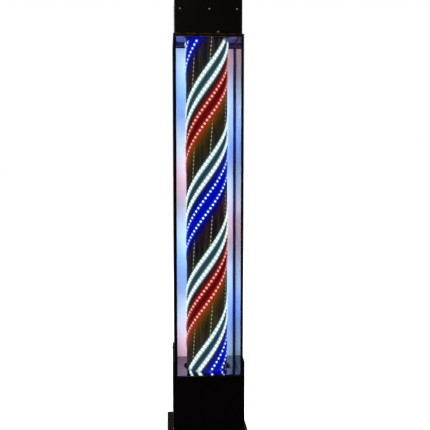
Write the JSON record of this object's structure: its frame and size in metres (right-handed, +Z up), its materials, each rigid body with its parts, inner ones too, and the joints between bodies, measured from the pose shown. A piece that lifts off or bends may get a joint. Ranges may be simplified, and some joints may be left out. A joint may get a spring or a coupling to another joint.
{
  "type": "barber pole light",
  "caption": "Free-standing square barber pole light: a glazed black column on a plinth, with a motor-driven drum that carries helical red, white and blue LED strips.",
  "frame": {"origin": "on the floor, under the drum's axis, at the middle of the plinth", "axes": "+Z up along the drum's axis; -Y is the front, where the window faces; +X is to the right as seen from the front"},
  "size_m": [0.24, 0.24, 1.3],
  "materials": {
    "black_paint": "satin black powder coat with a fine grain",
    "black_gloss": "polished black sheet that mirrors the lit chamber",
    "clear_glass": "clear float glass",
    "white_panel": "satin white reflector sheet",
    "drum_skin": "glossy black film on the drum",
    "leds_white": "clear-coated LED strip, cool white",
    "leds_red": "clear-coated LED strip, red",
    "leds_blue": "clear-coated LED strip, blue",
    "raw_steel": "mill-finish steel",
    "bearing_steel": "ground steel",
    "zinc_plate": "zinc-plated sheet and die-cast zinc",
    "brass": "machined brass",
    "black_plastic": "moulded black plastic, fine spark finish",
    "rocker_plastic": "smooth moulded black plastic",
    "rubber": "black moulded rubber",
    "cable_sheath": "black PVC cable sheath",
    "carbon": "sintered carbon"
  },
  "bodies": {
    "housing": {"back_panel": "black_paint", "back_reflector": "white_panel", "ballast_plate": "raw_steel", "base_rear_cover": "black_paint", "base_shell": "black_paint", "bearing_bridge": "zinc_plate", "bearing_housing": "zinc_plate", "bearing_outer_race": "bearing_steel", "brush_holder": "black_plastic", "cable_gland": "black_plastic", "cap_shell": "black_paint", "ceiling_tray": "black_gloss", "chamber_floor": "black_gloss", "floor_bearer_left": "black_paint", "floor_bearer_right": "black_paint", "foot_front_left": "rubber", "foot_front_right": "rubber", "foot_rear_left": "rubber", "foot_rear_right": "rubber", "front_glass": "clear_glass", "front_post_left": "black_paint", "front_post_right": "black_paint", "front_sill": "black_paint", "gear_motor": "raw_steel", "led_feed_lead": "cable_sheath", "lower_brush": "carbon", "mains_lead": "cable_sheath", "motor_bridge": "zinc_plate", "motor_lead": "cable_sheath", "pattern_controller": "black_plastic", "plinth": "black_paint", "power_supply": "zinc_plate", "rear_post_left": "black_paint", "rear_post_right": "black_paint", "side_glass_left": "clear_glass", "side_glass_right": "clear_glass", "switch_body": "black_plastic", "top_frame": "black_paint", "upper_brush": "carbon"},
    "drum": {"led_strip_blue_1": "leds_blue", "led_strip_blue_2": "leds_blue", "led_strip_red_1": "leds_red", "led_strip_red_2": "leds_red", "led_strip_white_1": "leds_white", "led_strip_white_2": "leds_white", "led_strip_white_3": "leds_white", "led_strip_white_4": "leds_white", "drum_tube": "drum_skin", "drum_bottom_disc": "black_plastic", "drum_top_disc": "black_plastic", "drive_hub": "zinc_plate", "motor_shaft": "bearing_steel", "spindle": "bearing_steel", "bearing_inner_race": "bearing_steel", "slip_ring_sleeve": "black_plastic", "slip_ring_lower_contact": "brass", "slip_ring_upper_contact": "brass"},
    "ball_cage": {"bearing_ball_cage": "brass"},
    "rocker": {"switch_rocker": "rocker_plastic"}
  },
  "joints": [
    {"name": "drum_spin", "type": "hinge", "parent": "housing", "child": "drum", "pos_m": [0, 0, 0.2], "axis": [0, 0, 1], "continuous": true},
    {"name": "cage_spin", "type": "hinge", "parent": "housing", "child": "ball_cage", "pos_m": [0, 0, 1.2135], "axis": [0, 0, 1], "continuous": true},
    {"name": "rocker_tilt", "type": "hinge", "parent": "housing", "child": "rocker", "pos_m": [0.045, 0.099, 0.125], "axis": [1, 0, 0], "range_deg": [-16, 0]}
  ],
  "couplings": [
    {"joint": "cage_spin", "follows": "drum_spin", "ratio": 0.39}
  ]
}
